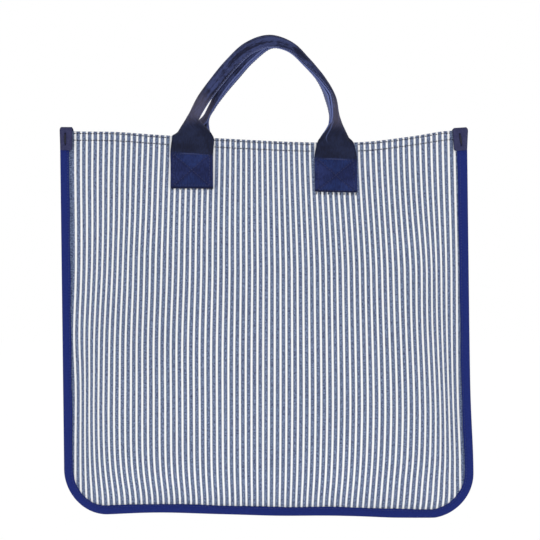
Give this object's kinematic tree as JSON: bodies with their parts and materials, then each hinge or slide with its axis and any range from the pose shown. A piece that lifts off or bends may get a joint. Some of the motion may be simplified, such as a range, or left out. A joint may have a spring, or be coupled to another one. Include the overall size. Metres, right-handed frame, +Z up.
{
  "type": "canvas tote bag",
  "caption": "Flat open-top canvas tote bag with vertical stripes, taped edges, leather corner tabs and folded webbing handles that swing down.",
  "frame": {"origin": "underside of the two grips where they lean together, the place a hand or hook carries the bag", "axes": "+Z up; +X along the mouth, to the right when the front panel is seen; +Y from the front panel to the back panel"},
  "size_m": [0.3806, 0.0588, 0.4492],
  "materials": {
    "canvas": "striped cotton canvas, blue and white",
    "binding_tape": "ribbed cotton tape, royal navy",
    "webbing": "cotton webbing, navy",
    "leather": "smooth dyed leather, dark navy",
    "thread": "sewing thread, navy"
  },
  "bodies": {
    "bag": {"front_panel": "canvas", "back_panel": "canvas", "edge_binding": "binding_tape", "left_tab": "leather", "right_tab": "leather", "front_left_handle_end": "webbing", "front_right_handle_end": "webbing", "back_left_handle_end": "webbing", "back_right_handle_end": "webbing", "front_hem_seam": "thread", "back_hem_seam": "thread", "binding_seam": "thread", "handle_box_stitches": "thread", "tab_stitches": "thread"},
    "front_handle": {"front_handle_loop": "webbing", "front_handle_seam": "thread"},
    "back_handle": {"back_handle_loop": "webbing", "back_handle_seam": "thread"}
  },
  "joints": [
    {"name": "front_handle_swing", "type": "hinge", "parent": "bag", "child": "front_handle", "pos_m": [0, -0.0212, -0.10148], "axis": [1, 0, 0], "range_deg": [0, 165]},
    {"name": "back_handle_swing", "type": "hinge", "parent": "bag", "child": "back_handle", "pos_m": [0, 0.0212, -0.10148], "axis": [-1, 0, 0], "range_deg": [0, 165]}
  ]
}
